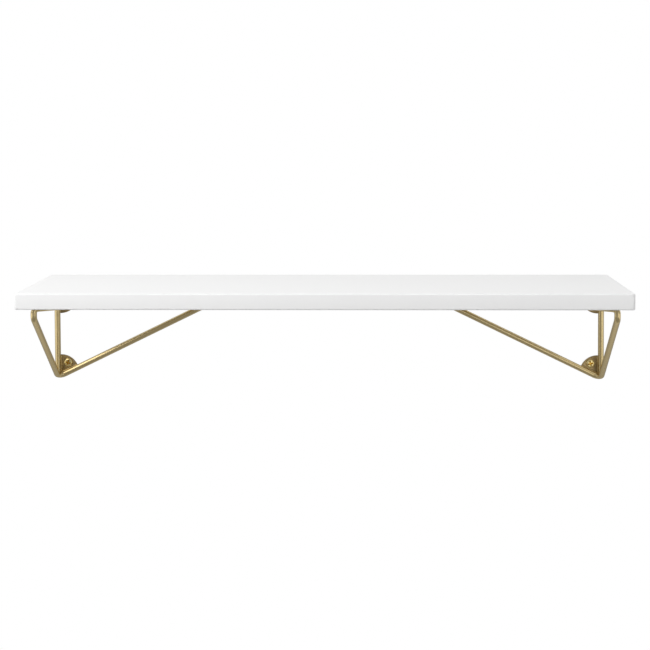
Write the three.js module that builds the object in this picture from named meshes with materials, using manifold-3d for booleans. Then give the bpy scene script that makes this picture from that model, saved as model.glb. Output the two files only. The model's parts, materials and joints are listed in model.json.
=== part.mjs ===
// Wall shelf: a painted board carried by two brackets of bent round wire.
// Millimetres. +X runs along the shelf, the front faces -Y, the wall is the plane Y = 0, +Z is up.
// The origin is the middle of the board's rear edge face.

import * as THREE from 'three';
import { mergeVertices } from 'three/addons/utils/BufferGeometryUtils.js';
import Module from 'manifold-3d';

// Board
const BOARD_LENGTH = 600;
const BOARD_DEPTH = 150;
const BOARD_THICKNESS = 16;
const BOARD_EDGE_ROUND = 1.6;
const BOARD_CORNER_ROUND = 3;

// Bracket wires. All lengths are to the wires' centre lines.
const WIRE_DIAMETER = 6.2;
const WIRE_RADIUS = WIRE_DIAMETER / 2;
const BRACKET_INSET = 7.5; // from the board's end to the upright
const BRACKET_DROP = 95.1; // from the board's underside down to the apex
const BRACKET_REACH = 120.3; // from the wall out to the front corner
const BRACKET_RUN = 188.2; // from the upright in to the inner bend
const FRONT_LEAN = 4.3; // the front corner stands this much further in than the upright
const FRONT_RISE = 10; // the wire stands upright for this much below the front corner
const APEX_BEND = 6.5;
const RISE_BEND = 6.5; // where the sloping wire turns upright
const FRONT_BEND = 4.5;
const INNER_BEND = 6.5;
const UPPER_BEND = 8;
const UPRIGHT_RISE = 4.5; // the upright's foot stands this far above the apex
const LEG_SHORTFALL = 14.4; // the rear leg stops this far short of the inner corner

// Plates and tabs
const PLATE_THICKNESS = 2;
const PLATE_RADIUS = 18.8;
const PLATE_HOLE_DIAMETER = 4.8;
const PLATE_HOLE_DISTANCE = 13.1; // from the plate's corner
const LOWER_PLATE = { tipCut: 1, holeShare: 0.572 }; // holeShare is the hole's part of the opening
const UPPER_PLATE = { tipCut: 5, holeShare: 0.5 }; // the tip clears the bend in the corner wire
const TAB_ROUND = 9;
const TAB_LENGTH = 17;
const FRONT_TAB_DISTANCE = 38; // from the front corner along the wire
const REAR_TAB_DISTANCE = 62; // from the inner corner along the wire

// Screws
const WALL_SCREW = { shank: 4, length: 20, head: 8.8, headHeight: 2.8, recess: 5.2 };
const BOARD_SCREW = { shank: 3.5, length: 12, head: 7.4, headHeight: 2.4, recess: 4.2 };
const SCREW_POINT_LENGTH = 2.4; // in shank diameters
const RECESS_SLOT_WIDTH = 1.5;
const RECESS_DEPTH = 1.6;

// Every pair of pieces that touch is modelled with this gap.
const GAP = 0.3;

const WIRE_SIDES = 16;
const BEND_STEPS = 8;
const SCREW_SIDES = 24;

const wasm = await Module();
wasm.setup();

const lacquer = new THREE.MeshStandardMaterial({ color: 0xf1f1f0, roughness: 0.45, metalness: 0 });
const satinBrass = new THREE.MeshStandardMaterial({ color: 0xb8a271, roughness: 0.35, metalness: 1 });
const darkBrass = new THREE.MeshStandardMaterial({ color: 0x94804f, roughness: 0.4, metalness: 1 });
const brightBrass = new THREE.MeshStandardMaterial({ color: 0xdcb654, roughness: 0.25, metalness: 1 });

function solidOf(geometry) {
  geometry.deleteAttribute('normal');
  geometry.deleteAttribute('uv');
  const merged = mergeVertices(geometry, 1e-4);
  const vertProperties = Float32Array.from(merged.attributes.position.array);
  const triVerts = Uint32Array.from(merged.index.array);
  return new wasm.Manifold(new wasm.Mesh({ numProp: 3, vertProperties, triVerts }));
}

function geometryOf(solid) {
  const mesh = solid.getMesh();
  const geometry = new THREE.BufferGeometry();
  geometry.setAttribute('position', new THREE.BufferAttribute(mesh.vertProperties, 3));
  geometry.setIndex(new THREE.BufferAttribute(mesh.triVerts, 1));
  geometry.computeVertexNormals();
  return geometry;
}

function namedMesh(name, geometry, material) {
  const mesh = new THREE.Mesh(geometry, material);
  mesh.name = name;
  return mesh;
}

// A path through fixed stations, so that straight stretches need no points of their own.
class WirePath extends THREE.Curve {
  constructor(stations) {
    super();
    this.stations = stations;
  }

  stationAt(t) {
    return this.stations[Math.round(t * (this.stations.length - 1))];
  }

  getPoint(t, target = new THREE.Vector3()) {
    return target.copy(this.stationAt(t).point);
  }

  getPointAt(t, target) {
    return this.getPoint(t, target);
  }

  getTangentAt(t, target = new THREE.Vector3()) {
    return target.copy(this.stationAt(t).tangent);
  }
}

function bendStations(before, corner, after, radius) {
  const back = before.clone().sub(corner).normalize();
  const ahead = after.clone().sub(corner).normalize();
  const halfAngle = back.angleTo(ahead) / 2;
  const travel = back.clone().negate();
  const turnAxis = travel.clone().cross(ahead).normalize();
  const toCentre = back.clone().add(ahead).normalize().multiplyScalar(radius / Math.sin(halfAngle));
  const centre = corner.clone().add(toCentre);
  const start = corner.clone().addScaledVector(back, radius / Math.tan(halfAngle));
  const stations = [];
  for (let i = 0; i <= BEND_STEPS; i += 1) {
    const angle = ((Math.PI - 2 * halfAngle) * i) / BEND_STEPS;
    const point = start.clone().sub(centre).applyAxisAngle(turnAxis, angle).add(centre);
    const tangent = travel.clone().applyAxisAngle(turnAxis, angle);
    stations.push({ point, tangent });
  }
  return stations;
}

// A round wire through the corners, with a bend of the given radius at each inner one.
function bentWire(corners, bendRadii, wireRadius) {
  const last = corners.length - 1;
  const firstTangent = corners[1].clone().sub(corners[0]).normalize();
  const lastTangent = corners[last].clone().sub(corners[last - 1]).normalize();
  const stations = [{ point: corners[0], tangent: firstTangent }];
  bendRadii.forEach((radius, i) => {
    stations.push(...bendStations(corners[i], corners[i + 1], corners[i + 2], radius));
  });
  stations.push({ point: corners[last], tangent: lastTangent });
  const section = new THREE.Shape().absarc(0, 0, wireRadius, 0, 2 * Math.PI);
  return new THREE.ExtrudeGeometry(section, {
    steps: stations.length - 1,
    curveSegments: WIRE_SIDES / 2,
    extrudePath: new WirePath(stations),
  });
}

// The bracket's sharp corners, from the board's underside at the wall, in the upright's plane.
// inward is the X direction towards the middle of the shelf.
function bracketCorners(inward) {
  const wallLine = -WIRE_RADIUS;
  const topLine = -GAP - WIRE_RADIUS;
  return {
    apex: new THREE.Vector3(0, wallLine, -BRACKET_DROP),
    upper: new THREE.Vector3(0, wallLine, topLine),
    inner: new THREE.Vector3(inward * BRACKET_RUN, wallLine, topLine),
    front: new THREE.Vector3(inward * FRONT_LEAN, -BRACKET_REACH, topLine),
    riseFoot: new THREE.Vector3(inward * FRONT_LEAN, -BRACKET_REACH, topLine - FRONT_RISE),
  };
}

// One closed triangle of wire. Its ends meet at a seam halfway along the wire under the board.
function loopWire(corners, wireRadius) {
  const seam = corners.front.clone().lerp(corners.inner, 0.5);
  const toInner = corners.inner.clone().sub(corners.front).normalize();
  const seamStart = seam.clone().addScaledVector(toInner, -GAP / 2);
  const seamEnd = seam.clone().addScaledVector(toInner, GAP / 2);
  const { front, riseFoot, apex, inner } = corners;
  const path = [seamStart, front, riseFoot, apex, inner, seamEnd];
  return bentWire(path, [FRONT_BEND, RISE_BEND, APEX_BEND, INNER_BEND], wireRadius);
}

// An upright and a rear leg in one wire, cut to sit against the loop at both ends.
function cornerWire(corners, inward) {
  const foot = corners.apex.clone().add(new THREE.Vector3(0, 0, UPRIGHT_RISE));
  const tip = corners.inner.clone().add(new THREE.Vector3(-inward * LEG_SHORTFALL, 0, 0));
  const whole = solidOf(bentWire([foot, corners.upper, tip], [UPPER_BEND], WIRE_RADIUS));
  const clearance = solidOf(loopWire(corners, WIRE_RADIUS + GAP));
  return geometryOf(whole.subtract(clearance));
}

// A flat sector between two wires, with its corner where their edges cross, and the tip cut off.
function cornerPlate(fromAngle, toAngle, tipCut, holeAngle) {
  const shape = new THREE.Shape();
  shape.moveTo(tipCut * Math.cos(toAngle), tipCut * Math.sin(toAngle));
  shape.lineTo(tipCut * Math.cos(fromAngle), tipCut * Math.sin(fromAngle));
  shape.lineTo(PLATE_RADIUS * Math.cos(fromAngle), PLATE_RADIUS * Math.sin(fromAngle));
  shape.absarc(0, 0, PLATE_RADIUS, fromAngle, toAngle);
  shape.closePath();
  const hole = new THREE.Path();
  const holeX = PLATE_HOLE_DISTANCE * Math.cos(holeAngle);
  const holeY = PLATE_HOLE_DISTANCE * Math.sin(holeAngle);
  hole.absarc(holeX, holeY, PLATE_HOLE_DIAMETER / 2, 0, 2 * Math.PI, true);
  shape.holes.push(hole);
  return new THREE.ExtrudeGeometry(shape, {
    depth: PLATE_THICKNESS,
    curveSegments: 10,
    bevelEnabled: false,
  });
}

// A tongue that starts at X = 0 and ends in a half round about its screw hole.
function boardTab() {
  const holeX = TAB_LENGTH - TAB_ROUND;
  const shape = new THREE.Shape();
  shape.moveTo(0, -TAB_ROUND);
  shape.lineTo(holeX, -TAB_ROUND);
  shape.absarc(holeX, 0, TAB_ROUND, -Math.PI / 2, Math.PI / 2);
  shape.lineTo(0, TAB_ROUND);
  shape.closePath();
  const hole = new THREE.Path();
  hole.absarc(holeX, 0, PLATE_HOLE_DIAMETER / 2, 0, 2 * Math.PI, true);
  shape.holes.push(hole);
  return new THREE.ExtrudeGeometry(shape, {
    depth: PLATE_THICKNESS,
    curveSegments: 10,
    bevelEnabled: false,
  });
}

// A pan head screw on the Y axis: the head rises from Y = 0, the shank hangs below it.
function screw({ shank, length, head, headHeight, recess }) {
  const shankRadius = shank / 2;
  const headRadius = head / 2;
  const profile = [
    new THREE.Vector2(0, -length),
    new THREE.Vector2(shankRadius, -length + SCREW_POINT_LENGTH * shank),
    new THREE.Vector2(shankRadius, 0),
    new THREE.Vector2(headRadius, 0),
    new THREE.Vector2(headRadius, 0.3 * headHeight),
    new THREE.Vector2(0.93 * headRadius, 0.66 * headHeight),
    new THREE.Vector2(0.74 * headRadius, 0.9 * headHeight),
    new THREE.Vector2(0.4 * headRadius, headHeight),
    new THREE.Vector2(0, headHeight),
  ];
  const body = solidOf(new THREE.LatheGeometry(profile, SCREW_SIDES));
  const slot = new THREE.BoxGeometry(recess, 2 * RECESS_DEPTH, RECESS_SLOT_WIDTH);
  slot.translate(0, headHeight, 0);
  const crossSlot = slot.clone().rotateY(Math.PI / 2);
  return geometryOf(body.subtract(solidOf(slot)).subtract(solidOf(crossSlot)));
}

// Where a tab meets the wire from the front corner to the inner one, and which way it points.
function tabPlace(corners, inward, fromFront) {
  const along = corners.inner.clone().sub(corners.front).normalize();
  const outward = new THREE.Vector3(-inward * along.y, inward * along.x, 0);
  outward.multiplyScalar(Math.sign(outward.y));
  const root = corners.front.clone().addScaledVector(along, fromFront);
  root.addScaledVector(outward, WIRE_RADIUS + GAP);
  const hole = root.clone().addScaledVector(outward, TAB_LENGTH - TAB_ROUND);
  return { root, hole, angle: Math.atan2(outward.y, outward.x) };
}

function tabPlaces(corners, inward) {
  const wireLength = corners.front.distanceTo(corners.inner);
  return {
    front: tabPlace(corners, inward, FRONT_TAB_DISTANCE),
    rear: tabPlace(corners, inward, wireLength - REAR_TAB_DISTANCE),
  };
}

// A wall plate in the corner of two wires, and the screw through it.
function wallFixing(name, corner, angleA, angleB, { tipCut, holeShare }) {
  const opening = Math.abs(angleB - angleA);
  const reach = (WIRE_RADIUS + GAP) / Math.sin(opening);
  const plateX = corner.x + reach * (Math.cos(angleA) + Math.cos(angleB));
  const plateZ = corner.z + reach * (Math.sin(angleA) + Math.sin(angleB));
  const [fromAngle, toAngle] = [Math.min(angleA, angleB), Math.max(angleA, angleB)];
  const holeAngle = angleA + holeShare * (angleB - angleA);
  const plateShape = cornerPlate(fromAngle, toAngle, tipCut, holeAngle);
  const plate = namedMesh(`${name}_wall_plate`, plateShape, darkBrass);
  plate.rotation.x = Math.PI / 2;
  plate.position.set(plateX, 0, plateZ);

  const fastener = namedMesh(`${name}_wall_screw`, screw(WALL_SCREW), brightBrass);
  fastener.rotation.x = Math.PI;
  fastener.position.set(
    plateX + PLATE_HOLE_DISTANCE * Math.cos(holeAngle),
    -PLATE_THICKNESS - GAP,
    plateZ + PLATE_HOLE_DISTANCE * Math.sin(holeAngle),
  );
  return [plate, fastener];
}

// A tab under the board, and the screw that goes up through it.
function boardFixing(name, place) {
  const underside = -GAP - PLATE_THICKNESS;
  const tab = namedMesh(`${name}_board_tab`, boardTab(), darkBrass);
  tab.rotation.z = place.angle;
  tab.position.set(place.root.x, place.root.y, underside);

  const fastener = namedMesh(`${name}_board_screw`, screw(BOARD_SCREW), brightBrass);
  fastener.rotation.x = -Math.PI / 2;
  fastener.position.set(place.hole.x, place.hole.y, underside - GAP);
  return [tab, fastener];
}

function bracket(side, inward) {
  const corners = bracketCorners(inward);
  const places = tabPlaces(corners, inward);
  const slope = corners.inner.clone().sub(corners.apex);
  const group = new THREE.Group();
  group.add(namedMesh(`${side}_loop_wire`, loopWire(corners, WIRE_RADIUS), satinBrass));
  group.add(namedMesh(`${side}_corner_wire`, cornerWire(corners, inward), satinBrass));
  const up = Math.PI / 2;
  const alongSlope = Math.atan2(slope.z, slope.x);
  const alongLeg = inward > 0 ? 0 : Math.PI;
  const down = inward > 0 ? -up : 3 * up;
  group.add(...wallFixing(`${side}_lower`, corners.apex, up, alongSlope, LOWER_PLATE));
  group.add(...wallFixing(`${side}_upper`, corners.upper, alongLeg, down, UPPER_PLATE));
  group.add(...boardFixing(`${side}_front`, places.front));
  group.add(...boardFixing(`${side}_rear`, places.rear));
  group.position.set(-inward * (BOARD_LENGTH / 2 - BRACKET_INSET), 0, -BOARD_THICKNESS / 2);
  return group;
}

// Blind holes that take the board screws of one bracket.
function pilotHoles(inward) {
  const places = tabPlaces(bracketCorners(inward), inward);
  const depth = BOARD_SCREW.length - PLATE_THICKNESS;
  const radius = BOARD_SCREW.shank / 2 + GAP;
  return [places.front, places.rear].map(({ hole }) => {
    const drill = new THREE.CylinderGeometry(radius, radius, 2 * depth, SCREW_SIDES);
    drill.rotateX(Math.PI / 2);
    drill.translate(
      -inward * (BOARD_LENGTH / 2 - BRACKET_INSET) + hole.x,
      hole.y,
      -BOARD_THICKNESS / 2,
    );
    return solidOf(drill);
  });
}

function board() {
  const x = BOARD_LENGTH / 2 - BOARD_EDGE_ROUND;
  const y = BOARD_DEPTH / 2 - BOARD_EDGE_ROUND;
  const round = BOARD_CORNER_ROUND - BOARD_EDGE_ROUND;
  const outline = new THREE.Shape();
  outline.moveTo(x - round, -y);
  outline.absarc(x - round, -y + round, round, -Math.PI / 2, 0);
  outline.absarc(x - round, y - round, round, 0, Math.PI / 2);
  outline.absarc(-x + round, y - round, round, Math.PI / 2, Math.PI);
  outline.absarc(-x + round, -y + round, round, Math.PI, 1.5 * Math.PI);
  outline.closePath();
  const slab = new THREE.ExtrudeGeometry(outline, {
    depth: BOARD_THICKNESS - 2 * BOARD_EDGE_ROUND,
    curveSegments: 4,
    bevelSize: BOARD_EDGE_ROUND,
    bevelThickness: BOARD_EDGE_ROUND,
    bevelSegments: 3,
  });
  slab.translate(0, -BOARD_DEPTH / 2, -BOARD_THICKNESS / 2 + BOARD_EDGE_ROUND);
  let solid = solidOf(slab);
  [...pilotHoles(1), ...pilotHoles(-1)].forEach((drill) => {
    solid = solid.subtract(drill);
  });
  return namedMesh('shelf_board', geometryOf(solid), lacquer);
}

const shelf = new THREE.Group();
shelf.add(board());
shelf.add(bracket('left', 1));
shelf.add(bracket('right', -1));

export default shelf;
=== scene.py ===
import json
import math

import bpy
from bpy.props import FloatProperty, FloatVectorProperty, IntProperty, PointerProperty
from mathutils import Euler, Matrix, Vector

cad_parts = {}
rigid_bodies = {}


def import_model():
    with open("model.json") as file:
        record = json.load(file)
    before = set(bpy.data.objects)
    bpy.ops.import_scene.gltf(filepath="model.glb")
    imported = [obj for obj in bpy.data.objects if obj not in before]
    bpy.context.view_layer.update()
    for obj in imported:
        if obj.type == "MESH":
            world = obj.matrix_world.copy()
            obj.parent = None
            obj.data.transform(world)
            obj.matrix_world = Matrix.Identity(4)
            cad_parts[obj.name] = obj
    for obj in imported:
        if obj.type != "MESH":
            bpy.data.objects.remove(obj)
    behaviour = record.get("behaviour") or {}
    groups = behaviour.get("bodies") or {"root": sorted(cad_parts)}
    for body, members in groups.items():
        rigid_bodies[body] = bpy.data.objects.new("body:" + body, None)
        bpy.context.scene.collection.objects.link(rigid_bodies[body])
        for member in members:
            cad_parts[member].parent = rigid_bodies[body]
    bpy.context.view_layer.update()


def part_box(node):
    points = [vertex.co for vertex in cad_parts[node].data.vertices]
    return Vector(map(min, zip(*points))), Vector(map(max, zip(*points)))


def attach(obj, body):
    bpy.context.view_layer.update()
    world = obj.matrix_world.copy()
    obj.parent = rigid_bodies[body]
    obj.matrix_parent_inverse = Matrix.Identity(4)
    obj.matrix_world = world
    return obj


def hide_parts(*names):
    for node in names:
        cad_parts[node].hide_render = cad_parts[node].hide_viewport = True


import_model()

bl_info = {
    "name": "Wall Shelf with Wire Brackets",
    "version": (1, 0, 0),
    "blender": (4, 5, 0),
    "location": "View3D > Sidebar > Wall Shelf",
    "description": "Models a white board on two bent wire brackets, and the studio round it",
    "category": "Add Mesh",
}

MM = 0.001
UP = Vector((0, 0, 1))

BOARD_LOW, BOARD_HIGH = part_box("shelf_board")
UPRIGHT_LOW, UPRIGHT_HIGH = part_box("left_corner_wire")
PLATE_LOW, PLATE_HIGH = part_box("left_lower_wall_plate")
_, TAB_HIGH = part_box("left_front_board_tab")

WIRE_RADIUS = -UPRIGHT_LOW.y / 2
UPRIGHT_X = UPRIGHT_LOW.x + WIRE_RADIUS
LEG_Z = UPRIGHT_HIGH.z - WIRE_RADIUS
LEG_TIP_X = UPRIGHT_HIGH.x
FOOT_Z = UPRIGHT_LOW.z
UNDERSIDE = BOARD_LOW.z
PLATE_THICKNESS = PLATE_HIGH.y - PLATE_LOW.y
JOINT_GAP = UNDERSIDE - TAB_HIGH.z

# Wires
SEAM_GAP = 0.1 * MM
ON_WIRE = 0.04 * MM  # how near a point counts as on a wire's surface

# Plates
LOWER_TIP_CUT = -1 * MM  # the tip runs on into the weld at the apex
UPPER_TIP_CUT = 5 * MM  # the tip clears the bend in the corner wire
EDGE_BEVEL = 0.28 * MM
UPRIGHT_SHADE_REACH = 11 * MM  # how far the painted shade on the plates reaches in from the uprights
DROP_REACH = 2.2 * MM  # how far the drop of weld at the apex runs on from the plate's tip

# Screws: radius of the shank, and height of the head
WALL_SHANK = 2 * MM
BOARD_SHANK = 1.75 * MM
WALL_HEAD = 2.8 * MM
BOARD_HEAD = 2.4 * MM
STEM_SHARE = 0.72  # of the shank's radius
RIDGE_ROOT_SHARE = 0.6
RIDGE_START = 0.22  # of the shank's length
RIDGE_END = 0.72
RIDGE_TAPER = 0.45
STEM_TAPER = 0.6
RECESS_LENGTH = 2.2  # in head radii, before the slots are narrowed
RECESS_WIDTH = 0.66
RECESS_HEIGHT = 1.5  # in head heights, half of it inside the head
RECESS_NARROWING = 0.24

# Degrees that the recesses are turned by, and from one screw to the next
FIRST_TURN = 16
WALL_TURN = 60
BOARD_TURN = 31

# Camera
LENS = 73.108
SENSOR = 36
SHIFT_UP = -0.2428
CAMERA_PLACE = (0.0466, -1.4147, 0.1831)
CAMERA_YAW = 1.966
CAMERA_DOWN = 2.4
CAMERA_ROLL = -0.248


# ---------------------------------------------------------------------------
# Settings
# ---------------------------------------------------------------------------

def length(name, description, default):
    return FloatProperty(name=name, description=description, default=default, unit="LENGTH", min=0)


def brightness(name, description, default):
    return FloatProperty(name=name, description=description, default=default, min=0)


def colour(name, description, default):
    return FloatVectorProperty(
        name=name, description=description, default=default, subtype="COLOR", size=3, min=0, max=1
    )


class BoardSettings(bpy.types.PropertyGroup):
    edge_round: length("Edge round", "Radius along every edge of the board", 1.6 * MM)
    corner_round: length("Corner round", "Radius of the upright corners", 3 * MM)
    lacquer: colour("Lacquer", "Colour of the white lacquer", (0.87, 0.87, 0.868))


class BracketSettings(bpy.types.PropertyGroup):
    drop: length("Drop", "From the board's underside to the apex", 95.1 * MM)
    reach: length("Reach", "From the wall to the front corner", 120.3 * MM)
    run: length("Run", "From the upright to the inner bend", 188.2 * MM)
    front_lean: length("Front lean", "How much further in the front corner is", 4.3 * MM)
    front_rise: length("Front rise", "How far the wire stands upright at the front", 10 * MM)
    apex_bend: length("Apex bend", "Bend radius at the apex", 6.5 * MM)
    rise_bend: length("Rise bend", "Bend radius at the foot of the front rise", 6.5 * MM)
    front_bend: length("Front bend", "Bend radius at the front corner", 4.5 * MM)
    inner_bend: length("Inner bend", "Bend radius at the inner end", 6.5 * MM)
    upper_bend: length("Upper bend", "Bend radius above the upright", 8 * MM)
    sides: IntProperty(name="Sides", description="Faces round the wire", default=40, min=8)
    bend_steps: IntProperty(name="Bend steps", description="Rings in a bend", default=20, min=4)
    brass: colour("Brass", "Colour of the satin wire", (0.80, 0.645, 0.35))
    brass_dark: colour("Dull brass", "Colour where the wire is duller", (0.74, 0.575, 0.28))


class FixingSettings(bpy.types.PropertyGroup):
    plate_radius: length("Plate radius", "Radius of the wall plates", 18.8 * MM)
    plate_hole: length("Plate hole", "Diameter of the holes in plates and tabs", 4.8 * MM)
    hole_distance: length("Hole distance", "From a plate's corner to its hole", 13.1 * MM)
    hole_share: FloatProperty(
        name="Hole share",
        description="How far round from the upright to the sloping wire the lower hole lies",
        default=0.572,
        min=0,
        max=1,
    )
    tab_round: length("Tab round", "Radius of the tabs' round ends", 9 * MM)
    tab_length: length("Tab length", "From the wire to a tab's end", 17 * MM)
    front_tab: length("Front tab", "From the front corner to the front tab", 38 * MM)
    rear_tab: length("Rear tab", "From the inner corner to the rear tab", 62 * MM)
    bead: length("Weld bead", "Radius of the weld beads", 0.55 * MM)
    weld_depth: length("Weld depth", "How far a plate's edge is melted into the wire", 0.35 * MM)
    thread_pitch: length("Thread pitch", "Rise of a screw thread per turn", 1.6 * MM)
    plate_brass: colour("Plate brass", "Colour of the plates and tabs", (0.66, 0.49, 0.24))
    screw_brass: colour("Screw brass", "Colour of the screws", (1.0, 0.83, 0.4))
    # Painted shade deep in the cross recesses
    recess_shade_brass: colour("Recess brass", "Colour deep in the cross recesses", (0.75, 0.5, 0.08))


class StudioSettings(bpy.types.PropertyGroup):
    dim: brightness("Dim side", "Grey of the room in front and below", 0.28)
    bright: brightness("Bright side", "White of the room above", 0.84)
    key: brightness("Key", "Radiance of the key light", 1.8)
    fill: brightness("Fill", "Radiance of the front fill", 1.95)
    top: brightness("Top", "Radiance of the light above", 0.6)
    cards: brightness("Cards", "Radiance of the cards at the ends", 0.85)
    floor_drop: length("Floor drop", "From the shelf to the floor", 1.6)


# ---------------------------------------------------------------------------
# Small helpers
# ---------------------------------------------------------------------------

def settings(context):
    scene = context.scene
    return scene.shelf_board_settings, scene.shelf_bracket_settings, scene.shelf_fixing_settings


def deselect():
    for piece in bpy.context.view_layer.objects:
        piece.select_set(False)


def activate(piece):
    deselect()
    piece.select_set(True)
    bpy.context.view_layer.objects.active = piece


def edit(piece):
    activate(piece)
    bpy.ops.object.mode_set(mode="EDIT")


def leave_edit():
    bpy.ops.object.mode_set(mode="OBJECT")


def apply_place(piece):
    activate(piece)
    bpy.ops.object.transform_apply(location=True, rotation=True, scale=True)


def new_piece(name):
    piece = bpy.context.object
    piece.name = name
    piece.data.name = name
    return piece


def apply_modifier(piece, kind, **values):
    activate(piece)
    modifier = piece.modifiers.new(kind.title(), kind)
    for key, value in values.items():
        setattr(modifier, key, value)
    bpy.ops.object.modifier_apply(modifier=modifier.name)


def cut(piece, cutter, operation="DIFFERENCE"):
    apply_modifier(piece, "BOOLEAN", object=cutter, operation=operation, solver="EXACT")


def remove(piece):
    bpy.data.objects.remove(piece, do_unlink=True)


def tidy(piece, angle=35):
    edit(piece)
    bpy.ops.mesh.select_all(action="SELECT")
    bpy.ops.mesh.remove_doubles(threshold=1e-6)
    bpy.ops.mesh.normals_make_consistent(inside=False)
    leave_edit()
    activate(piece)
    bpy.ops.object.shade_smooth_by_angle(angle=math.radians(angle))


def select_faces(piece, test):
    """Selects the faces of the piece in edit mode whose centre and normal pass the test."""
    bpy.ops.mesh.select_mode(type="FACE")
    bpy.ops.mesh.select_all(action="DESELECT")
    leave_edit()
    for face in piece.data.polygons:
        face.select = test(face.center, face.normal)
    bpy.ops.object.mode_set(mode="EDIT")


def select_edges(piece, test):
    """Selects the edges of the piece in edit mode whose two ends pass the test."""
    bpy.ops.mesh.select_mode(type="EDGE")
    bpy.ops.mesh.select_all(action="DESELECT")
    leave_edit()
    points = piece.data.vertices
    for edge in piece.data.edges:
        edge.select = test(points[edge.vertices[0]].co, points[edge.vertices[1]].co)
    bpy.ops.object.mode_set(mode="EDIT")


def finish_trim(piece, material):
    """Finishes a piece that stands for no node, such as a weld."""
    piece.data.materials.clear()
    piece.data.materials.append(material)
    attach(piece, "root")


def finish_piece(piece, node, material):
    """Finishes a piece that stands for a node."""
    finish_trim(piece, material)
    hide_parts(node)


def mirrored(piece, name):
    """A copy of the piece on the other side of the shelf's middle, with a mesh of its own."""
    activate(piece)
    bpy.ops.object.duplicate()
    copy = new_piece(name)
    copy.scale.x = -1
    apply_place(copy)
    tidy(copy)
    return copy


# ---------------------------------------------------------------------------
# Wire paths
# ---------------------------------------------------------------------------

class Bend:
    """The arc that rounds a corner of a wire."""

    def __init__(self, before, corner, after, radius):
        back = (before - corner).normalized()
        ahead = (after - corner).normalized()
        half = back.angle(ahead) / 2
        self.turn = math.pi - 2 * half
        self.axis = (-back).cross(ahead).normalized()
        self.centre = corner + (back + ahead).normalized() * (radius / math.sin(half))
        self.start = corner + back * (radius / math.tan(half))
        self.end = corner + ahead * (radius / math.tan(half))

    def point(self, share):
        turned = Matrix.Rotation(self.turn * share, 3, self.axis) @ (self.start - self.centre)
        return self.centre + turned


def wire_bends(corners, radii):
    triples = zip(corners, corners[1:], corners[2:], radii)
    return [Bend(a, b, c, radius) for a, b, c, radius in triples]


def wire_points(corners, radii, steps):
    points = [corners[0]]
    for bend in wire_bends(corners, radii):
        points += [bend.point(i / steps) for i in range(steps + 1)]
    return points + [corners[-1]]


def distance_to_path(point, points):
    best = 1.0
    for a, b in zip(points, points[1:]):
        along = b - a
        share = max(0.0, min(1.0, (point - a).dot(along) / max(along.length_squared, 1e-12)))
        best = min(best, (point - a - along * share).length)
    return best


def straighten(piece, points):
    """Stores where each point would lie if the wire were drawn out straight along X."""
    runs = [0.0]
    sides = []
    side = (points[1] - points[0]).orthogonal().normalized()
    for a, b in zip(points, points[1:]):
        along = (b - a).normalized()
        side = (side - along * side.dot(along)).normalized()
        sides.append((along, side, along.cross(side)))
        runs.append(runs[-1] + (b - a).length)
    drawn = piece.data.attributes.new("drawn", "FLOAT_VECTOR", "POINT")
    for vertex in piece.data.vertices:
        best = None
        for i, (along, side, across) in enumerate(sides):
            offset = vertex.co - points[i]
            run = max(0.0, min(runs[i + 1] - runs[i], offset.dot(along)))
            gap = (offset - along * run).length
            if best is None or gap < best[0]:
                best = (gap, runs[i] + run, offset.dot(side), offset.dot(across))
        drawn.data[vertex.index].vector = best[1:]


def bracket_corners(bracket):
    wall = -WIRE_RADIUS
    apex = Vector((UPRIGHT_X, wall, UNDERSIDE - bracket.drop))
    upper = Vector((UPRIGHT_X, wall, LEG_Z))
    inner = Vector((UPRIGHT_X + bracket.run, wall, LEG_Z))
    front = Vector((UPRIGHT_X + bracket.front_lean, -bracket.reach, LEG_Z))
    return apex, upper, inner, front


def loop_path(bracket):
    apex, _, inner, front = bracket_corners(bracket)
    seam = front.lerp(inner, 0.5)
    gap = (inner - front).normalized() * (SEAM_GAP / 2)
    rise_foot = front - UP * bracket.front_rise
    corners = [seam - gap, front, rise_foot, apex, inner, seam + gap]
    radii = [bracket.front_bend, bracket.rise_bend, bracket.apex_bend, bracket.inner_bend]
    return corners, radii


def corner_path(bracket):
    apex, upper, inner, _ = bracket_corners(bracket)
    foot = Vector((apex.x, apex.y, FOOT_Z))
    tip = Vector((LEG_TIP_X, inner.y, inner.z))
    return [foot, upper, tip], [bracket.upper_bend]


def bend_wire(name, corners, radii, bracket):
    """Draws a round bar out along the corners, extruding the straights and spinning the bends."""
    heading = (corners[1] - corners[0]).to_track_quat("Z", "Y").to_euler()
    bpy.ops.mesh.primitive_circle_add(
        vertices=bracket.sides,
        radius=WIRE_RADIUS,
        fill_type="NGON",
        location=corners[0],
        rotation=heading,
    )
    wire = new_piece(name)
    apply_place(wire)
    edit(wire)
    bpy.ops.mesh.select_all(action="SELECT")
    at = corners[0]
    for bend in wire_bends(corners, radii):
        bpy.ops.mesh.extrude_region_move(TRANSFORM_OT_translate={"value": bend.start - at})
        bpy.ops.mesh.spin(
            steps=bracket.bend_steps, angle=-bend.turn, center=bend.centre, axis=bend.axis
        )
        at = bend.end
    bpy.ops.mesh.extrude_region_move(TRANSFORM_OT_translate={"value": corners[-1] - at})
    leave_edit()
    tidy(wire)
    return wire


# ---------------------------------------------------------------------------
# Materials
# ---------------------------------------------------------------------------

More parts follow.
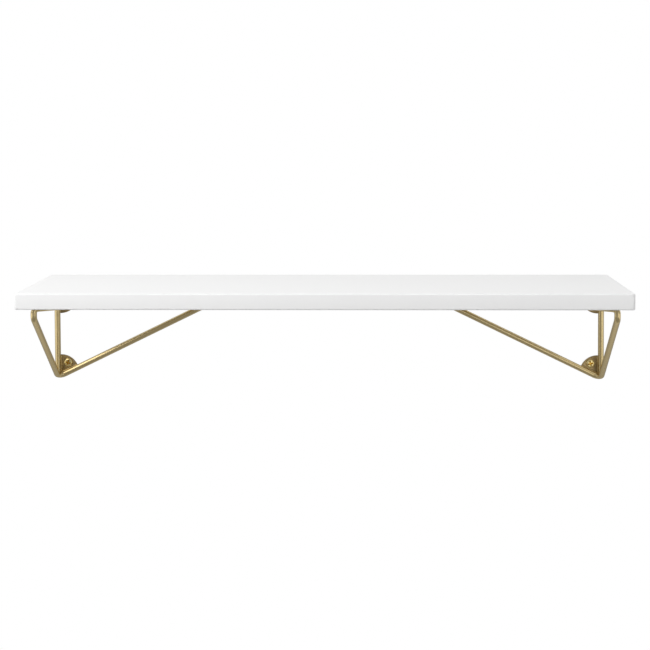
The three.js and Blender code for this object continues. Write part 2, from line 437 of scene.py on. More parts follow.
class Finish:
    """A procedural material with a few helpers for its nodes."""

    def __init__(self, name, **inputs):
        self.material = bpy.data.materials.new(name)
        self.material.use_nodes = True
        self.nodes = self.material.node_tree.nodes
        self.links = self.material.node_tree.links
        self.nodes.clear()
        self.shader = self.nodes.new("ShaderNodeBsdfPrincipled")
        output = self.nodes.new("ShaderNodeOutputMaterial")
        self.links.new(self.shader.outputs[0], output.inputs[0])
        for key, value in inputs.items():
            self.shader.inputs[key.replace("_", " ")].default_value = value

    def coordinates(self, scale, attribute=None):
        if attribute:
            vector = self.attribute(attribute)["Vector"]
        else:
            vector = self.nodes.new("ShaderNodeTexCoord").outputs["Object"]
        mapping = self.nodes.new("ShaderNodeMapping")
        mapping.inputs["Scale"].default_value = scale
        self.links.new(vector, mapping.inputs["Vector"])
        return mapping.outputs["Vector"]

    def noise(self, vector, detail=4, rough=0.6, distortion=0.0):
        noise = self.nodes.new("ShaderNodeTexNoise")
        noise.inputs["Scale"].default_value = 1
        noise.inputs["Detail"].default_value = detail
        noise.inputs["Roughness"].default_value = rough
        noise.inputs["Distortion"].default_value = distortion
        self.links.new(vector, noise.inputs["Vector"])
        return noise.outputs["Fac"]

    def spread(self, value, low, high, start=0.3, end=0.7):
        spread = self.nodes.new("ShaderNodeMapRange")
        spread.inputs["From Min"].default_value = start
        spread.inputs["From Max"].default_value = end
        spread.inputs["To Min"].default_value = low
        spread.inputs["To Max"].default_value = high
        self.links.new(value, spread.inputs["Value"])
        return spread.outputs["Result"]

    def blend_to(self, value, colour):
        """A mix node that reaches the colour as the value goes from 0 to 1."""
        mix = self.nodes.new("ShaderNodeMix")
        mix.data_type = "RGBA"
        mix.inputs["B"].default_value = (*colour, 1)
        self.links.new(value, mix.inputs["Factor"])
        return mix

    def mix(self, value, low, high):
        mix = self.blend_to(value, high)
        mix.inputs["A"].default_value = (*low, 1)
        return mix.outputs["Result"]

    def fade(self, value, clean, colour):
        """The clean finish, changed towards the colour as the value goes from 0 to 1."""
        mix = self.blend_to(value, colour)
        self.links.new(clean, mix.inputs["A"])
        return mix.outputs["Result"]

    def attribute(self, name):
        source = self.nodes.new("ShaderNodeAttribute")
        source.attribute_name = name
        return source.outputs

    def upright_shade(self):
        """1 beside the upright wires and 0 further in: the mask of the painted shade that darkens
        the plates next to the uprights.
        """
        parts = self.nodes.new("ShaderNodeSeparateXYZ")
        self.links.new(self.coordinates((1, 1, 1)), parts.inputs[0])
        size = self.nodes.new("ShaderNodeMath")
        size.operation = "ABSOLUTE"
        self.links.new(parts.outputs["X"], size.inputs[0])
        upright = abs(UPRIGHT_X) - WIRE_RADIUS
        return self.spread(size.outputs[0], 0, 1, upright - UPRIGHT_SHADE_REACH, upright)

    def add(self, first, second):
        total = self.nodes.new("ShaderNodeMath")
        total.operation = "ADD"
        self.links.new(first, total.inputs[0])
        self.links.new(second, total.inputs[1])
        return total.outputs[0]

    def feed(self, socket, value):
        self.links.new(value, self.shader.inputs[socket])

    def bump(self, height, strength, distance):
        bump = self.nodes.new("ShaderNodeBump")
        bump.inputs["Strength"].default_value = strength
        bump.inputs["Distance"].default_value = distance
        self.links.new(height, bump.inputs["Height"])
        self.links.new(bump.outputs["Normal"], self.shader.inputs["Normal"])


def shade(rgb, factor):
    return [min(1.0, channel * factor) for channel in rgb]


def board_lacquer(board):
    """White satin lacquer: a faint orange peel and slow changes of gloss."""
    finish = Finish("board_lacquer", Specular_IOR_Level=0.3)
    clouds = finish.noise(finish.coordinates((9, 9, 9)), detail=3)
    finish.feed("Base Color", finish.mix(clouds, shade(board.lacquer, 0.985), board.lacquer))
    finish.feed("Roughness", finish.spread(clouds, 0.48, 0.58))
    peel = finish.noise(finish.coordinates((420, 420, 420)), detail=2, rough=0.45)
    finish.bump(peel, 0.12, 0.05 * MM)
    return finish.material


def wire_brass(bracket):
    """Satin brass on drawn wire: fine lines along the wire, with duller patches."""
    finish = Finish("wire_brass", Metallic=1.0)
    patches = finish.noise(finish.coordinates((22, 160, 160), "drawn"), detail=3)
    lines = finish.noise(finish.coordinates((40, 1800, 1800), "drawn"), detail=3, rough=0.7)
    finish.feed("Base Color", finish.mix(patches, bracket.brass_dark, bracket.brass))
    gloss = finish.add(finish.spread(patches, 0.22, 0.28), finish.spread(lines, 0.0, 0.06))
    finish.feed("Roughness", gloss)
    finish.bump(lines, 0.06, 0.02 * MM)
    return finish.material


def plate_brass(fixing):
    """Satin brass on stamped sheet, brushed one way and mottled by the plating."""
    finish = Finish("plate_brass", Metallic=1.0)
    mottle = finish.noise(finish.coordinates((180, 180, 180)), detail=5, rough=0.65)
    brush = finish.noise(finish.coordinates((3200, 3200, 130)), detail=3, rough=0.7)
    dull = shade(fixing.plate_brass, 0.78)
    clean = finish.mix(mottle, dull, fixing.plate_brass)
    # Painted shade: the plates and tabs are darkened towards the uprights
    finish.feed("Base Color", finish.fade(finish.upright_shade(), clean, shade(fixing.plate_brass, 0.42)))
    gloss = finish.add(finish.spread(mottle, 0.24, 0.34), finish.spread(brush, 0, 0.1))
    finish.feed("Roughness", gloss)
    finish.bump(brush, 0.2, 0.03 * MM)
    return finish.material


def screw_brass(fixing):
    """Bright yellow brass plating with fine marks from tumbling."""
    finish = Finish("screw_brass", Metallic=1.0)
    marks = finish.noise(finish.coordinates((900, 900, 900)), detail=5, rough=0.7)
    clean = finish.mix(marks, shade(fixing.screw_brass, 0.85), fixing.screw_brass)
    # Painted shade: the bottom of the cross recess takes the darker recess colour
    depth = finish.attribute("recess")["Fac"]
    finish.feed("Base Color", finish.fade(depth, clean, fixing.recess_shade_brass))
    finish.feed("Roughness", finish.spread(marks, 0.14, 0.28))
    finish.bump(marks, 0.15, 0.03 * MM)
    return finish.material


def weld_brass(bracket):
    """Plated weld metal: rippled, and a little browner than the wire."""
    finish = Finish("weld_brass", Metallic=1.0)
    ripple = finish.noise(finish.coordinates((1400, 1400, 1400)), detail=2)
    brown = shade(bracket.brass_dark, 0.8)
    finish.feed("Base Color", finish.mix(ripple, brown, bracket.brass_dark))
    finish.feed("Roughness", finish.spread(ripple, 0.3, 0.42))
    finish.bump(ripple, 0.5, 0.12 * MM)
    return finish.material


# ---------------------------------------------------------------------------
# Pieces
# ---------------------------------------------------------------------------

class SHELF_OT_board(bpy.types.Operator):
    """Model the lacquered board with its rounded edges and blind screw holes"""

    bl_idname = "shelf.board"
    bl_label = "Board"

    def execute(self, context):
        board, bracket, fixing = settings(context)
        size = BOARD_HIGH - BOARD_LOW
        middle = (BOARD_HIGH + BOARD_LOW) / 2
        deselect()
        bpy.ops.mesh.primitive_cube_add(size=1, location=middle)
        slab = new_piece("shelf_board_lacquered")
        slab.scale = size
        apply_place(slab)
        edit(slab)
        select_edges(slab, lambda a, b: abs(a.z - b.z) > size.z / 2)
        bpy.ops.mesh.bevel(offset=board.corner_round, segments=8, affect="EDGES")
        select_edges(slab, lambda a, b: abs(a.z - b.z) < size.z / 2)
        bpy.ops.mesh.bevel(offset=board.edge_round, segments=6, affect="EDGES")
        leave_edit()
        for place, _ in board_tab_places(bracket, fixing):
            for side in (1, -1):
                self.drill(slab, place, side)
        tidy(slab)
        finish_piece(slab, "shelf_board", board_lacquer(board))
        return {"FINISHED"}

    def drill(self, slab, place, side):
        _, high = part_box("left_front_board_screw")
        depth = high.z - UNDERSIDE + 2 * JOINT_GAP
        bpy.ops.mesh.primitive_cylinder_add(
            vertices=32,
            radius=BOARD_SHANK + JOINT_GAP,
            depth=2 * depth,
            location=(side * place.x, place.y, UNDERSIDE),
        )
        drill = new_piece("drill")
        apply_place(drill)
        cut(slab, drill)
        remove(drill)


class SHELF_OT_wires(bpy.types.Operator):
    """Bend the loop wire and the corner wire of both brackets, and weld them together"""

    bl_idname = "shelf.wires"
    bl_label = "Bracket wires"

    def execute(self, context):
        _, bracket, fixing = settings(context)
        brass = wire_brass(bracket)
        loop = bend_wire("left_loop_brass", *loop_path(bracket), bracket)
        corner = bend_wire("left_corner_brass", *corner_path(bracket), bracket)
        cut(corner, loop)
        beads = self.weld(corner, bracket, fixing)
        tidy(corner)
        straighten(loop, wire_points(*loop_path(bracket), bracket.bend_steps))
        straighten(corner, wire_points(*corner_path(bracket), bracket.bend_steps))
        weld = weld_brass(bracket)
        for left, node in ((loop, "loop_wire"), (corner, "corner_wire")):
            right = mirrored(left, left.name.replace("left", "right"))
            finish_piece(left, "left_" + node, brass)
            finish_piece(right, "right_" + node, brass)
        right_beads = mirrored(beads, "right_wire_welds")
        finish_trim(beads, weld)
        finish_trim(right_beads, weld)
        return {"FINISHED"}

    def weld(self, corner, bracket, fixing):
        """A bead along the line where the cut ends of the corner wire meet the loop."""
        loop_points = wire_points(*loop_path(bracket), bracket.bend_steps)
        corner_points = wire_points(*corner_path(bracket), bracket.bend_steps)

        def on_both(point):
            paths = (loop_points, corner_points)
            return all(abs(distance_to_path(point, path) - WIRE_RADIUS) < ON_WIRE for path in paths)

        edit(corner)
        select_edges(corner, lambda a, b: on_both(a) and on_both(b))
        bpy.ops.mesh.duplicate()
        bpy.ops.mesh.separate(type="SELECTED")
        leave_edit()
        line = [piece for piece in bpy.context.selected_objects if piece != corner][0]
        activate(line)
        bpy.ops.object.convert(target="CURVE")
        line.data.bevel_depth = fixing.bead
        line.data.bevel_resolution = 4
        line.data.use_fill_caps = True
        bpy.ops.object.convert(target="MESH")
        return join_pieces([line, self.seam_bead(bracket, fixing)], "left_wire_welds")

    def seam_bead(self, bracket, fixing):
        """A low ring where the two ends of the loop meet under the board."""
        corners, _ = loop_path(bracket)
        deselect()
        bpy.ops.mesh.primitive_torus_add(
            major_segments=48,
            minor_segments=12,
            major_radius=WIRE_RADIUS - 0.35 * fixing.bead,
            minor_radius=fixing.bead,
            location=(corners[0] + corners[-1]) / 2,
            rotation=(corners[1] - corners[0]).to_track_quat("Z", "Y").to_euler(),
        )
        ring = bpy.context.object
        ring.scale.z = 1.5
        apply_place(ring)
        return ring


def wall_plate_places(bracket, fixing):
    """Name, corner, the two wires' directions, tip cut and hole of each left plate."""
    apex, upper, inner, _ = bracket_corners(bracket)
    slope = (inner - apex).normalized()
    along = Vector((1, 0, 0))
    lower_hole = hole_place(apex, UP, slope, fixing.hole_share, fixing)
    upper_hole = hole_place(upper, along, -UP, 0.5, fixing)
    return (
        ("lower", apex, UP, slope, LOWER_TIP_CUT, lower_hole),
        ("upper", upper, along, -UP, UPPER_TIP_CUT, upper_hole),
    )


def plate_corner(corner, first, second):
    reach = (WIRE_RADIUS + JOINT_GAP) / math.sin(first.angle(second))
    return corner + (first + second) * reach


def hole_place(corner, first, second, share, fixing):
    turned = Matrix.Rotation(share * first.angle(second), 3, first.cross(second)) @ first
    return plate_corner(corner, first, second) + turned * fixing.hole_distance


def board_tab_places(bracket, fixing):
    """Hole place and outward direction of the left tabs, the front one first."""
    _, _, inner, front = bracket_corners(bracket)
    along = (inner - front).normalized()
    outward = Vector((-along.y, along.x, 0))
    length_under = (inner - front).length
    places = []
    for distance in (fixing.front_tab, length_under - fixing.rear_tab):
        root = front + along * distance + outward * (WIRE_RADIUS + JOINT_GAP)
        places.append((root + outward * (fixing.tab_length - fixing.tab_round), outward))
    return places


def bisect_away(piece, point, normal):
    """Cuts off what lies on the side that the normal points to."""
    edit(piece)
    bpy.ops.mesh.select_all(action="SELECT")
    bpy.ops.mesh.bisect(plane_co=point, plane_no=normal, use_fill=True, clear_outer=True)
    leave_edit()


def punch_hole(piece, centre, direction, diameter):
    bpy.ops.mesh.primitive_cylinder_add(
        vertices=48,
        radius=diameter / 2,
        depth=4 * PLATE_THICKNESS,
        location=centre,
        rotation=direction.to_track_quat("Z", "Y").to_euler(),
    )
    punch = new_piece("punch")
    apply_place(punch)
    cut(piece, punch)
    remove(punch)


def soften(piece):
    """Rounds the punched edges of a plate or tab."""
    apply_modifier(
        piece,
        "BEVEL",
        width=EDGE_BEVEL,
        segments=3,
        limit_method="ANGLE",
        angle_limit=math.radians(40),
    )
    tidy(piece, 50)


def straight_bead(start, end, radius):
    """One weld bead: a rod with round ends."""
    run = end - start
    bpy.ops.mesh.primitive_cylinder_add(
        vertices=16,
        radius=radius,
        depth=run.length,
        location=(start + end) / 2,
        rotation=run.to_track_quat("Z", "Y").to_euler(),
    )
    bead = bpy.context.object
    apply_place(bead)
    edit(bead)
    direction = run.normalized()
    select_faces(bead, lambda centre, normal: abs(normal.dot(direction)) > 0.9)
    bpy.ops.mesh.bevel(offset=0.75 * radius, segments=4, affect="EDGES")
    leave_edit()
    return bead


def join_pieces(pieces, name):
    deselect()
    for piece in pieces:
        piece.select_set(True)
    bpy.context.view_layer.objects.active = pieces[0]
    bpy.ops.object.join()
    joined = new_piece(name)
    tidy(joined)
    return joined


class SHELF_OT_wall_plates(bpy.types.Operator):
    """Cut the sector plates that hold the brackets to the wall, and weld them in"""

    bl_idname = "shelf.wall_plates"
    bl_label = "Wall plates"

    def execute(self, context):
        _, bracket, fixing = settings(context)
        brass = plate_brass(fixing)
        weld = weld_brass(bracket)
        for name, corner, first, second, tip_cut, hole in wall_plate_places(bracket, fixing):
            plate = self.sector(name, corner, first, second, tip_cut, hole, fixing)
            beads = self.beads(name, corner, first, second, tip_cut, fixing)
            right = mirrored(plate, f"right_{name}_plate_brass")
            right_beads = mirrored(beads, f"right_{name}_plate_welds")
            finish_piece(plate, f"left_{name}_wall_plate", brass)
            finish_piece(right, f"right_{name}_wall_plate", brass)
            finish_trim(beads, weld)
            finish_trim(right_beads, weld)
        return {"FINISHED"}

    def sector(self, name, corner, first, second, tip_cut, hole, fixing):
        tip = plate_corner(corner, first, second)
        deselect()
        bpy.ops.mesh.primitive_cylinder_add(
            vertices=128,
            radius=fixing.plate_radius,
            depth=PLATE_THICKNESS,
            location=(tip.x, -PLATE_THICKNESS / 2, tip.z),
            rotation=(math.pi / 2, 0, 0),
        )
        plate = new_piece(f"left_{name}_plate_brass")
        apply_place(plate)
        for edge, other in ((first, second), (second, first)):
            away = (edge * other.dot(edge) - other).normalized()
            bisect_away(plate, tip + away * (JOINT_GAP + fixing.weld_depth), away)
        middle = (first + second).normalized()
        bisect_away(plate, tip + middle * (tip_cut * math.cos(first.angle(second) / 2)), -middle)
        centre = Vector((hole.x, -PLATE_THICKNESS / 2, hole.z))
        punch_hole(plate, centre, Vector((0, 1, 0)), fixing.plate_hole)
        soften(plate)
        return plate

    def beads(self, name, corner, first, second, tip_cut, fixing):
        tip = plate_corner(corner, first, second)
        made = []
        for edge, other in ((first, second), (second, first)):
            away = (edge * other.dot(edge) - other).normalized()
            root = tip + away * JOINT_GAP
            root.y = -PLATE_THICKNESS
            start = root + edge * (tip_cut + 1 * MM)
            end = root + edge * (fixing.plate_radius - 0.4 * MM)
            made.append(straight_bead(start, end, 1.2 * fixing.bead))
        if name == "lower":
            middle = (first + second).normalized()
            tip.y = -PLATE_THICKNESS / 2
            drop = straight_bead(tip - middle * DROP_REACH, tip + middle * MM, 2.2 * fixing.bead)
            made.append(drop)
        return join_pieces(made, f"left_{name}_plate_welds")


class SHELF_OT_board_tabs(bpy.types.Operator):
    """Cut the round-ended tabs that hold the board, and weld them to the wires"""

    bl_idname = "shelf.board_tabs"
    bl_label = "Board tabs"

    def execute(self, context):
        _, bracket, fixing = settings(context)
        brass = plate_brass(fixing)
        weld = weld_brass(bracket)
        for name, (hole, outward) in zip(("front", "rear"), board_tab_places(bracket, fixing)):
            tab = self.tongue(name, hole, outward, fixing)
            bead = self.bead(name, hole, outward, fixing)
            right = mirrored(tab, f"right_{name}_tab_brass")
            right_bead = mirrored(bead, f"right_{name}_tab_weld")
            finish_piece(tab, f"left_{name}_board_tab", brass)
            finish_piece(right, f"right_{name}_board_tab", brass)
            finish_trim(bead, weld)
            finish_trim(right_bead, weld)
        return {"FINISHED"}

    def tongue(self, name, hole, outward, fixing):
        reach = fixing.tab_length + JOINT_GAP + fixing.weld_depth
        level = UNDERSIDE - JOINT_GAP - PLATE_THICKNESS / 2
        heading = math.atan2(outward.y, outward.x)
        middle = hole + outward * (fixing.tab_round - reach / 2)
        deselect()
        bpy.ops.mesh.primitive_cube_add(
            size=1, location=(middle.x, middle.y, level), rotation=(0, 0, heading)
        )
        tab = new_piece(f"left_{name}_tab_brass")
        tab.scale = (reach, 2 * fixing.tab_round, PLATE_THICKNESS)
        apply_place(tab)
        edit(tab)
        limit = hole.dot(outward)

        def far_upright(a, b):
            return abs(a.z - b.z) > PLATE_THICKNESS / 2 and a.dot(outward) > limit

        select_edges(tab, far_upright)
        bpy.ops.mesh.bevel(offset=fixing.tab_round * 0.999, segments=16, affect="EDGES")
        leave_edit()
        punch_hole(tab, Vector((hole.x, hole.y, level)), UP, fixing.plate_hole)
        soften(tab)
        return tab

    def bead(self, name, hole, outward, fixing):
        along = Vector((outward.y, -outward.x, 0))
        root = hole - outward * (fixing.tab_length - fixing.tab_round + JOINT_GAP)
        root.z = UNDERSIDE - JOINT_GAP - PLATE_THICKNESS
        half = along * (fixing.tab_round - 1 * MM)
        bead = straight_bead(root - half, root + half, 1.2 * fixing.bead)
        return join_pieces([bead], f"left_{name}_tab_weld")


class SHELF_OT_screws(bpy.types.Operator):
    """Turn the pan head screws, cut their cross recesses and threads, and put them in"""

    bl_idname = "shelf.screws"
    bl_label = "Screws"

    def execute(self, context):
        _, bracket, fixing = settings(context)
        brass = screw_brass(fixing)
        wall = self.screw("wall_pattern", "left_lower_wall_screw", WALL_SHANK, WALL_HEAD, fixing)
        board = self.screw(
            "board_pattern", "left_front_board_screw", BOARD_SHANK, BOARD_HEAD, fixing
        )
        into_wall = Euler((-math.pi / 2, 0, 0))
        turn = FIRST_TURN
        for name, *_, hole in wall_plate_places(bracket, fixing):
            for side, sign in (("left", -1), ("right", 1)):
                place = (sign * abs(hole.x), -PLATE_THICKNESS - JOINT_GAP, hole.z)
                self.put(wall, f"{side}_{name}_wall", place, into_wall, turn, brass)
                turn += WALL_TURN
        for name, (hole, _) in zip(("front", "rear"), board_tab_places(bracket, fixing)):
            for side, sign in (("left", -1), ("right", 1)):
                level = UNDERSIDE - 2 * JOINT_GAP - PLATE_THICKNESS
                place = (sign * abs(hole.x), hole.y, level)
                self.put(board, f"{side}_{name}_board", place, Euler((0, 0, 0)), turn, brass)
                turn += BOARD_TURN
        remove(wall)
        remove(board)
        return {"FINISHED"}

    def put(self, pattern, name, place, heading, turn, brass):
        """A copy of the pattern, turned about its own axis, then set where the frame has it."""
        activate(pattern)
        bpy.ops.object.duplicate()
        copy = new_piece(f"{name}_screw_brass")
        spin = Matrix.Rotation(math.radians(turn), 4, "Z")
        copy.matrix_world = Matrix.Translation(place) @ heading.to_matrix().to_4x4() @ spin
        apply_place(copy)
        finish_piece(copy, f"{name}_screw", brass)

    def screw(self, name, node, shank, head_height, fixing):
        """One screw on the Z axis: the shank points up from Z = 0 and the head hangs below it."""
        low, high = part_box(node)
        size = sorted(high - low)
        head_radius = size[0] / 2
        shank_length = size[2] - head_height
        head = self.head(name, head_radius, head_height)
        stem = self.stem(STEM_SHARE * shank, shank_length)
        ridge = self.thread(shank, shank_length, fixing)
        pattern = join_pieces([head, stem, ridge], name)
        self.mark_recess_shade(pattern, head_radius, head_height)
        return pattern

    def mark_recess_shade(self, pattern, radius, height):
        """Marks the bottom of the recess, where the screw's finish is darkened as painted shade."""
        recess = pattern.data.attributes.new("recess", "FLOAT", "POINT")
        for vertex in pattern.data.vertices:
            inside = vertex.co.xy.length < 0.5 * radius
            deep = -0.9 * height < vertex.co.z < -0.05 * height
            recess.data[vertex.index].value = float(inside and deep)

    def head(self, name, radius, height):
        deselect()
        bpy.ops.mesh.primitive_cylinder_add(
            vertices=64, radius=radius, depth=height, location=(0, 0, -height / 2)
        )
        head = new_piece(name)
        apply_place(head)
        edit(head)
        select_faces(head, lambda centre, normal: normal.z < -0.9)
        bpy.ops.mesh.bevel(offset=0.5 * height, segments=8, affect="EDGES", profile=0.5)
        bpy.ops.mesh.select_all(action="DESELECT")
        select_faces(head, lambda centre, normal: normal.z > 0.9)
        bpy.ops.mesh.bevel(offset=0.08 * height, segments=2, affect="EDGES")
        leave_edit()
        cross = self.recess_wing(radius, height, 0, 1)
        wing = self.recess_wing(radius, height, math.pi / 2, 1.05)
        cut(cross, wing, "UNION")
        cut(head, cross)
        remove(wing)
        remove(cross)
        return head

    def recess_wing(self, radius, height, angle, deeper):
        """One slot of the cross: a block that narrows towards the bottom of the recess."""
        bpy.ops.mesh.primitive_cube_add(size=1, location=(0, 0, -height), rotation=(0, 0, angle))
        wing = new_piece("wing")
        depth = RECESS_HEIGHT * height * deeper
        wing.scale = (RECESS_LENGTH * radius, RECESS_WIDTH * radius, depth)
        apply_place(wing)
        edit(wing)
        select_faces(wing, lambda centre, normal: normal.z > 0.9)
        narrowed = (RECESS_NARROWING, RECESS_NARROWING, 1)
        bpy.ops.transform.resize(value=narrowed, center_override=(0, 0, 0))
        leave_edit()
        return wing

    def stem(self, radius, shank_length):
        """The plain core of the shank, with its point."""
        straight = STEM_TAPER * shank_length
        bpy.ops.mesh.primitive_cylinder_add(
            vertices=32, radius=radius, depth=straight, location=(0, 0, straight / 2)
        )
        stem = new_piece("stem")
        apply_place(stem)
        edit(stem)
        select_faces(stem, lambda centre, normal: normal.z > 0.9)
        rise = shank_length - straight
        bpy.ops.mesh.extrude_region_move(TRANSFORM_OT_translate={"value": (0, 0, rise)})
        bpy.ops.transform.resize(value=(0.06, 0.06, 1), center_override=(0, 0, shank_length))
        leave_edit()
        return stem

    def thread(self, radius, shank_length, fixing):
        """A triangular ridge wound round the stem, drawn in towards the point."""
        pitch = fixing.thread_pitch
        start = RIDGE_START * shank_length
        turns = int((RIDGE_END * shank_length - start) / pitch)
        root = RIDGE_ROOT_SHARE * radius
        bpy.ops.mesh.primitive_circle_add(vertices=3, radius=1, fill_type="NOTHING")
        ridge = new_piece("ridge")
        half = 0.3 * pitch
        profile = ((radius, 0, start), (root, 0, start + half), (root, 0, start - half))
        for vertex, place in zip(ridge.data.vertices, profile):
            vertex.co = place
        apply_modifier(
            ridge,
            "SCREW",
            screw_offset=pitch,
            iterations=turns,
            steps=24,
            render_steps=24,
            use_smooth_shade=True,
            use_merge_vertices=False,
        )
        edit(ridge)
        bpy.ops.mesh.select_all(action="SELECT")
        bpy.ops.mesh.fill_holes(sides=3)
        leave_edit()
        taper_from = RIDGE_TAPER * shank_length
        for vertex in ridge.data.vertices:
            share = max(0.0, (vertex.co.z - taper_from) / (shank_length - taper_from))
            vertex.co.xy *= 1 - share
        return ridge


# ---------------------------------------------------------------------------
# Studio
# ---------------------------------------------------------------------------

def soft_light(name, place, target, size, radiance, glossy):
    light = bpy.data.lights.new(name, "AREA")
    light.shape = "RECTANGLE"
    light.size, light.size_y = size
    light.energy = radiance * math.pi * size[0] * size[1]
    lamp = bpy.data.objects.new(name, light)
    lamp.location = place
    lamp.rotation_euler = (Vector(target) - Vector(place)).to_track_quat("-Z", "Y").to_euler()
    lamp.visible_camera = False
    lamp.visible_glossy = glossy
    bpy.context.scene.collection.objects.link(lamp)
    return lamp


def pale_emission(name):
    material = bpy.data.materials.new(name)
    material.use_nodes = True
    nodes = material.node_tree.nodes
    nodes.clear()
    glow = nodes.new("ShaderNodeEmission")
    glow.inputs["Color"].default_value = (1, 1, 1, 1)
    output = nodes.new("ShaderNodeOutputMaterial")
    material.node_tree.links.new(glow.outputs[0], output.inputs[0])
    return material


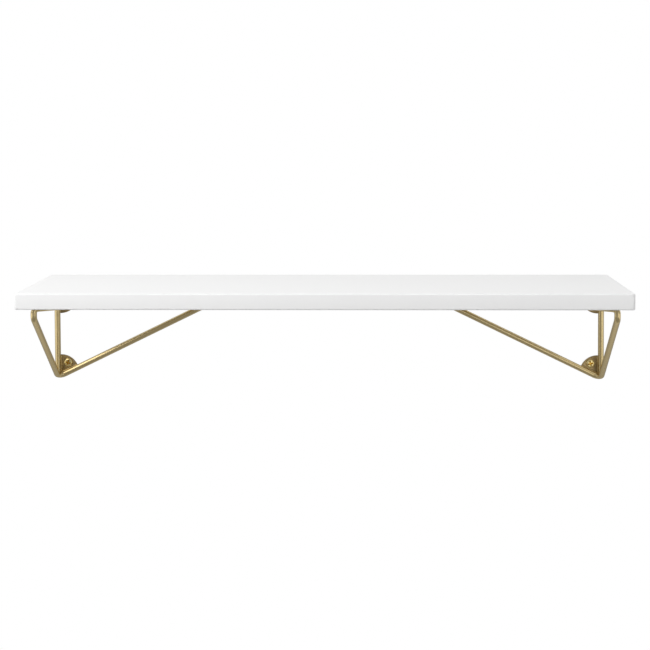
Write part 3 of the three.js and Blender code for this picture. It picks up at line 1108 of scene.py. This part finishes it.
class SHELF_OT_studio(bpy.types.Operator):
    """Set up the pale floor, the white surround, the soft lights and the camera"""

    bl_idname = "shelf.studio"
    bl_label = "Studio"

    def execute(self, context):
        studio = context.scene.shelf_studio_settings
        self.surround(context.scene, studio)
        self.floor(studio)
        self.wall_card()
        self.lights(studio)
        self.camera(context.scene)
        return {"FINISHED"}

    def surround(self, scene, studio):
        """White where the camera looks past the shelf; else dim in front and bright above."""
        world = bpy.data.worlds.new("surround")
        scene.world = world
        world.use_nodes = True
        nodes = world.node_tree.nodes
        links = world.node_tree.links
        nodes.clear()
        lean = nodes.new("ShaderNodeVectorMath")
        lean.operation = "DOT_PRODUCT"
        lean.inputs[1].default_value = (0, 0.35, 0.94)
        links.new(nodes.new("ShaderNodeTexCoord").outputs["Generated"], lean.inputs[0])
        shade = nodes.new("ShaderNodeMapRange")
        shade.interpolation_type = "SMOOTHSTEP"
        shade.inputs["From Min"].default_value = 0
        shade.inputs["From Max"].default_value = 0.7
        shade.inputs["To Min"].default_value = studio.dim
        shade.inputs["To Max"].default_value = studio.bright
        links.new(lean.outputs["Value"], shade.inputs["Value"])
        mix = nodes.new("ShaderNodeMix")
        mix.data_type = "RGBA"
        mix.inputs["B"].default_value = (1, 1, 1, 1)
        back = nodes.new("ShaderNodeBackground")
        output = nodes.new("ShaderNodeOutputWorld")
        path = nodes.new("ShaderNodeLightPath")
        links.new(path.outputs["Is Camera Ray"], mix.inputs["Factor"])
        links.new(shade.outputs["Result"], mix.inputs["A"])
        links.new(mix.outputs["Result"], back.inputs["Color"])
        links.new(back.outputs[0], output.inputs[0])
        scene.view_settings.view_transform = "Standard"

    def floor(self, studio):
        deselect()
        bpy.ops.mesh.primitive_plane_add(size=40, location=(0, 0, -studio.floor_drop))
        floor = new_piece("studio_floor")
        apply_place(floor)
        floor.data.materials.append(pale_emission("pale_floor"))
        floor.visible_diffuse = False
        floor.visible_glossy = False
        floor.visible_shadow = False

    def wall_card(self):
        """What the metal mirrors behind it: bright above the board, dim under it, paler below."""
        deselect()
        bpy.ops.mesh.primitive_plane_add(
            size=3, location=(0, 0.03, -0.2), rotation=(math.pi / 2, 0, 0)
        )
        card = new_piece("studio_wall_card")
        apply_place(card)
        material = pale_emission("wall_card")
        nodes = material.node_tree.nodes
        links = material.node_tree.links
        height = nodes.new("ShaderNodeSeparateXYZ")
        links.new(nodes.new("ShaderNodeTexCoord").outputs["Object"], height.inputs[0])
        total = nodes.new("ShaderNodeMath")
        for i, ramp in enumerate(((-0.01, 0.02, 0.33, 1.0), (-0.35, -0.12, 0.22, 0.0))):
            part = nodes.new("ShaderNodeMapRange")
            for name, value in zip(("From Min", "From Max", "To Min", "To Max"), ramp):
                part.inputs[name].default_value = value
            links.new(height.outputs["Z"], part.inputs["Value"])
            links.new(part.outputs["Result"], total.inputs[i])
        links.new(total.outputs[0], nodes["Emission"].inputs["Strength"])
        card.data.materials.append(material)
        card.visible_camera = False
        card.visible_diffuse = False
        card.visible_shadow = False

    def lights(self, studio):
        middle = (0, -0.07, -0.02)
        left = (-0.28, 0, -0.08)
        right = (0.29, 0, -0.08)
        right_screw = (0.28, 0, -0.087)
        side = 0.36 * studio.key
        low = 0.35 * studio.key
        soft_light("fill", (-0.7, -2.3, 0.5), middle, (2, 2), studio.fill, False)
        soft_light("top", (-1.1, -0.25, 1), middle, (1.2, 1.2), studio.top, False)
        soft_light("key", (-1.15, -1.1, 0.85), left, (1.3, 1), studio.key, True)
        soft_light("side", (1, -2, 0.15), right, (0.9, 1.3), side, True)
        soft_light("low", (0.475, -1.17, -0.315), right_screw, (0.3, 0.3), low, True)
        ends = (("left_card", -1, studio.cards), ("right_card", 1, 0.75 * studio.cards))
        for name, end, radiance in ends:
            place = (end * 0.62, -0.32, -0.1)
            target = (end * 0.29, -0.32, -0.1)
            soft_light(name, place, target, (0.75, 0.16), radiance, True)

    def camera(self, scene):
        data = bpy.data.cameras.new("camera")
        data.sensor_width = SENSOR
        data.lens = LENS
        data.shift_y = SHIFT_UP
        camera = bpy.data.objects.new("camera", data)
        scene.collection.objects.link(camera)
        yaw = Matrix.Rotation(math.radians(CAMERA_YAW), 4, "Z")
        pitch = Matrix.Rotation(math.radians(90 - CAMERA_DOWN), 4, "X")
        roll = Matrix.Rotation(math.radians(CAMERA_ROLL), 4, "Z")
        camera.matrix_world = Matrix.Translation(CAMERA_PLACE) @ yaw @ pitch @ roll
        scene.camera = camera


class VIEW3D_PT_wall_shelf(bpy.types.Panel):
    """Lists the shelf's pieces and their settings"""

    bl_label = "Wall Shelf"
    bl_space_type = "VIEW_3D"
    bl_region_type = "UI"
    bl_category = "Wall Shelf"

    def draw(self, context):
        for operator in OPERATORS:
            self.layout.operator(operator.bl_idname)
        for group in SETTINGS:
            box = self.layout.box()
            values = getattr(context.scene, group)
            for name in values.bl_rna.properties.keys():
                if name not in ("rna_type", "name"):
                    box.prop(values, name)


SETTINGS = {
    "shelf_board_settings": BoardSettings,
    "shelf_bracket_settings": BracketSettings,
    "shelf_fixing_settings": FixingSettings,
    "shelf_studio_settings": StudioSettings,
}
OPERATORS = (
    SHELF_OT_board,
    SHELF_OT_wires,
    SHELF_OT_wall_plates,
    SHELF_OT_board_tabs,
    SHELF_OT_screws,
    SHELF_OT_studio,
)


def register():
    for group in SETTINGS.values():
        bpy.utils.register_class(group)
    for name, group in SETTINGS.items():
        setattr(bpy.types.Scene, name, PointerProperty(type=group))
    for operator in OPERATORS:
        bpy.utils.register_class(operator)
    bpy.utils.register_class(VIEW3D_PT_wall_shelf)


def unregister():
    bpy.utils.unregister_class(VIEW3D_PT_wall_shelf)
    for operator in reversed(OPERATORS):
        bpy.utils.unregister_class(operator)
    for name, group in SETTINGS.items():
        delattr(bpy.types.Scene, name)
        bpy.utils.unregister_class(group)


def main():
    register()
    bpy.ops.shelf.board()
    bpy.ops.shelf.wires()
    bpy.ops.shelf.wall_plates()
    bpy.ops.shelf.board_tabs()
    bpy.ops.shelf.screws()
    bpy.ops.shelf.studio()


if __name__ == "__main__":
    main()
